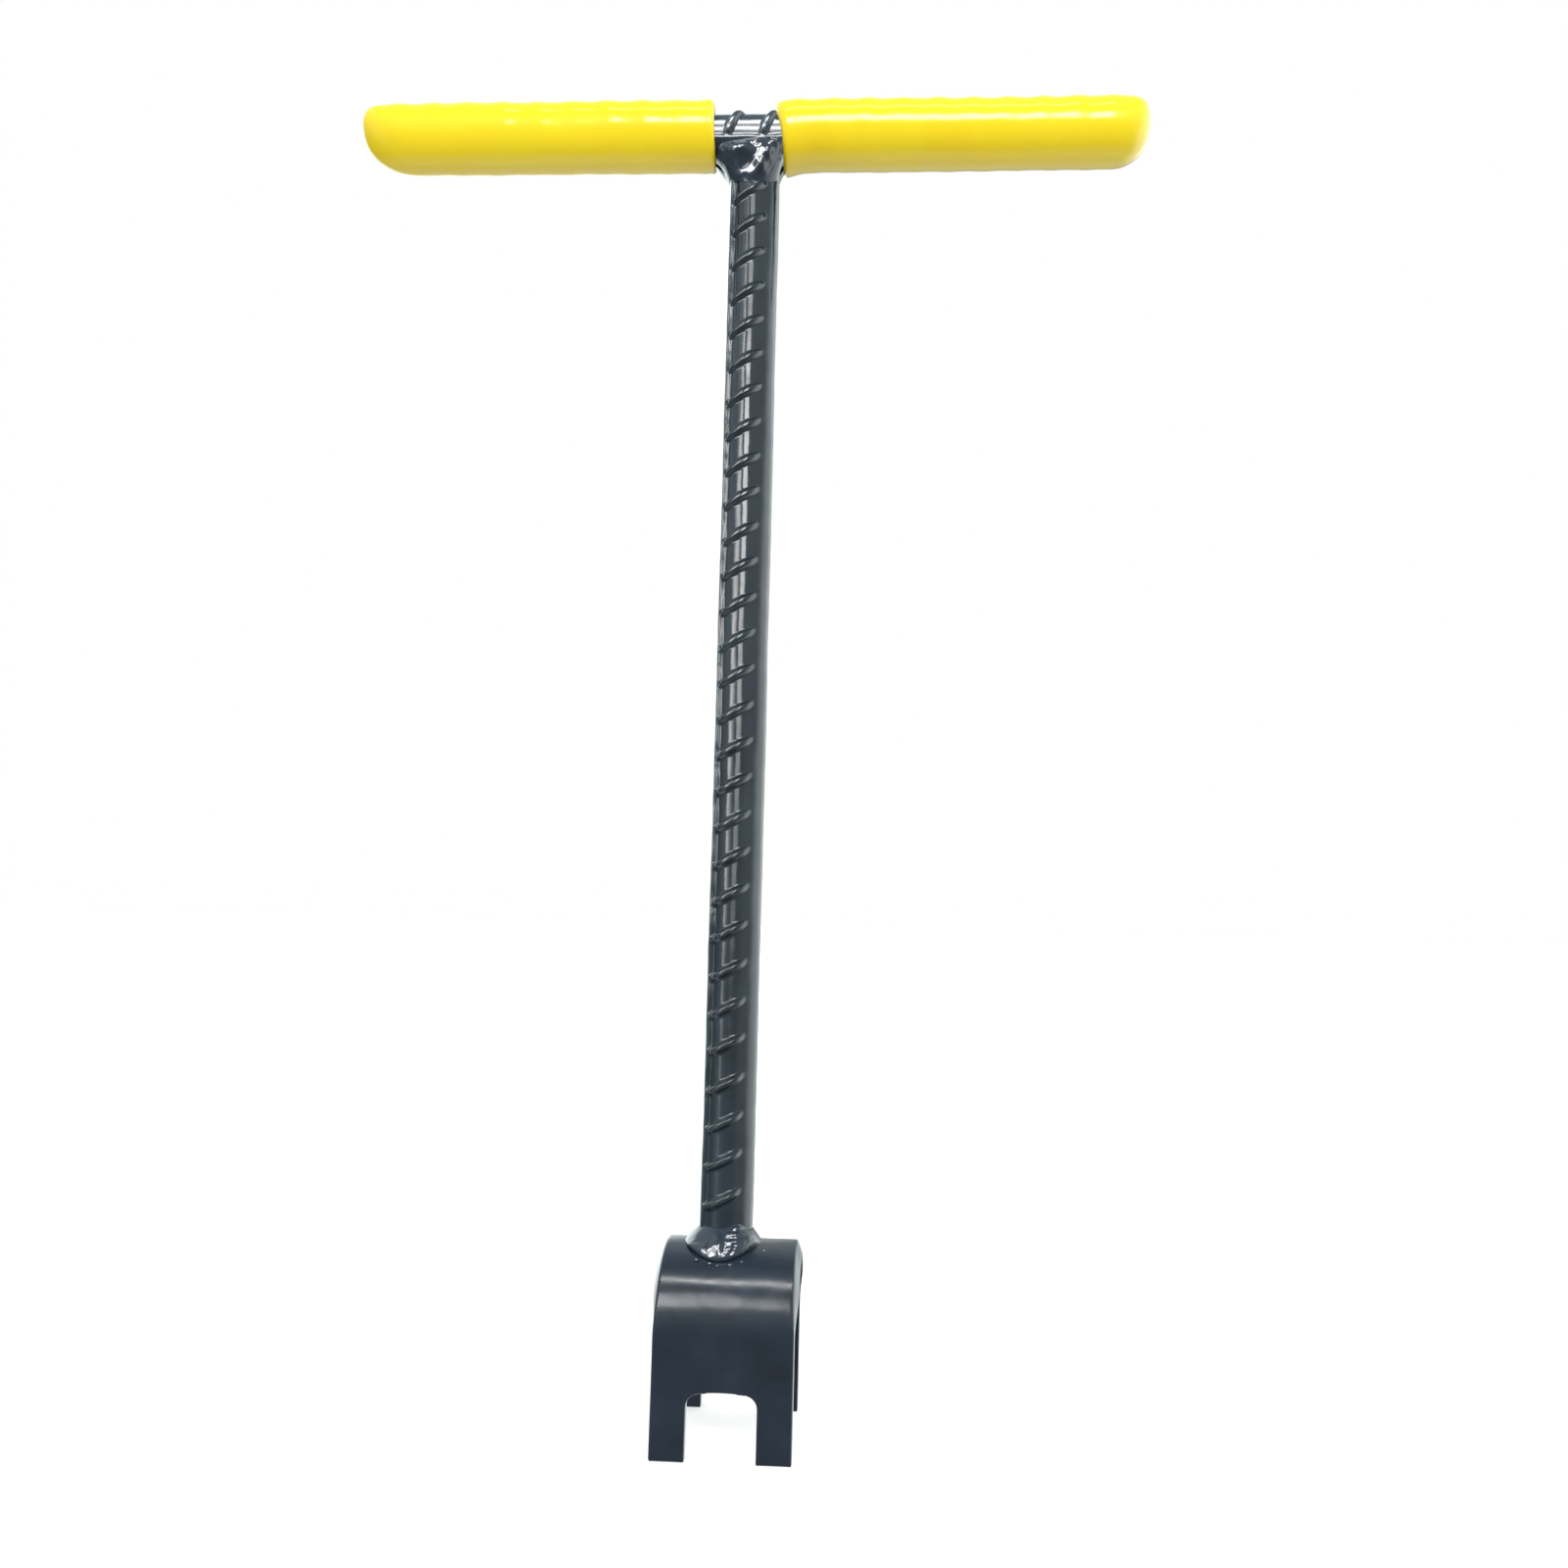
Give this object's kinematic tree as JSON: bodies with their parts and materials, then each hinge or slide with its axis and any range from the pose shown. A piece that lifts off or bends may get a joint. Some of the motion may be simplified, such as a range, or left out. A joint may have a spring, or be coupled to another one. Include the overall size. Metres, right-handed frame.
{
  "type": "hydrant wrench",
  "caption": "T-handle key with a ribbed bar shaft, dipped grips and a slotted U-shaped fork that turns valves and hydrants.",
  "frame": {"origin": "where the shaft's axis meets the plane that the four prongs end on", "axes": "+Z along the shaft from the fork to the handle, +X along the handle to its right end, -Y the front, which one of the fork's flat legs faces"},
  "size_m": [0.1904, 0.0344, 0.3116],
  "materials": {
    "enamel": "gloss black-blue enamel on steel",
    "grip_vinyl": "gloss yellow dip-moulded vinyl"
  },
  "bodies": {
    "root": {"shaft_bar": "enamel", "handle_bar": "enamel", "grip_left": "grip_vinyl", "grip_right": "grip_vinyl", "fork": "enamel", "handle_weld_front": "enamel", "handle_weld_back": "enamel", "fork_weld_front": "enamel", "fork_weld_back": "enamel"}
  },
  "joints": []
}
